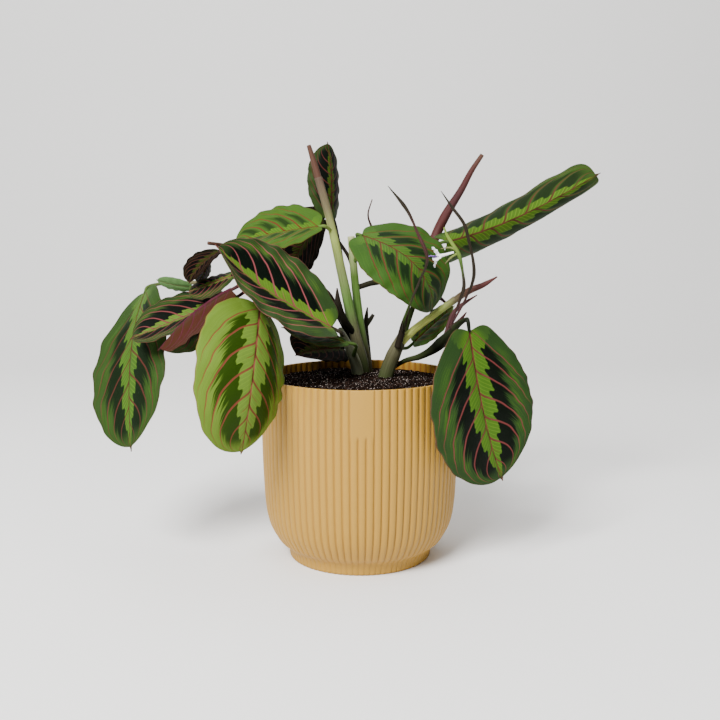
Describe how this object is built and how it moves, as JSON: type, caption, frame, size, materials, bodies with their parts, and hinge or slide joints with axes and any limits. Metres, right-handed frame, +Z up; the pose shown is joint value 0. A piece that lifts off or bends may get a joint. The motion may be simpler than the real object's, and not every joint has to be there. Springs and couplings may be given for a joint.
{
  "type": "potted_prayer_plant",
  "caption": "Potted prayer plant (maranta) in a ribbed tan planter, with oval patterned leaves, rolled young leaves and thin flower stalks leaning over the rim",
  "frame": {"origin": "centre of the planter's base, on the ground", "axes": "+Z up, +X to the viewer's right along the longest extent, -Y to the viewer, where the planter has its smooth panel"},
  "size_m": [0.3689, 0.195, 0.2977],
  "materials": {
    "planter": "matte moulded plastic with fine satin ribs",
    "soil": "dark gritty potting soil with pale specks",
    "leaf": "satin green leaf with dark blotches, a light zigzag band and red veins",
    "leaf_light": "satin yellow-green young leaf with red veins",
    "leaf_dark": "shaded dark green leaf",
    "underside": "red-brown underside of a leaf",
    "stem": "smooth green stalk, browner at the sheaths",
    "maroon": "smooth maroon rolled leaf",
    "flower_stalk": "thin brown-green flower stalk",
    "flower": "white petals with a lilac patch"
  },
  "bodies": {
    "root": {"flower": "flower", "flower_stalk_left": "flower_stalk", "flower_stalk_right": "flower_stalk", "flower_stalk_short": "flower_stalk", "leaf_back_low": "leaf_dark", "leaf_centre_right": "leaf", "leaf_front": "leaf", "leaf_front_lower": "leaf", "leaf_left_curled": "leaf_dark", "leaf_left_hanging": "leaf", "leaf_left_level": "leaf", "leaf_left_pale": "leaf_light", "leaf_left_small": "leaf", "leaf_left_underside": "underside", "leaf_left_young": "underside", "leaf_lime": "leaf_light", "leaf_right_hanging": "leaf", "leaf_right_lower": "leaf", "leaf_right_raised": "leaf", "leaf_shaded_back": "leaf_dark", "leaf_top": "leaf", "leaf_upper_left": "leaf", "planter": "planter", "potting_soil": "soil", "rolled_leaf_right": "maroon", "rolled_leaf_small": "maroon", "rolled_leaf_tall": "maroon", "rolled_leaf_top": "maroon", "stem_cut": "stem", "stem_front": "stem", "stem_left": "stem", "stem_low": "stem", "stem_right": "stem", "stem_stub": "stem", "stem_tall": "stem"}
  },
  "joints": []
}
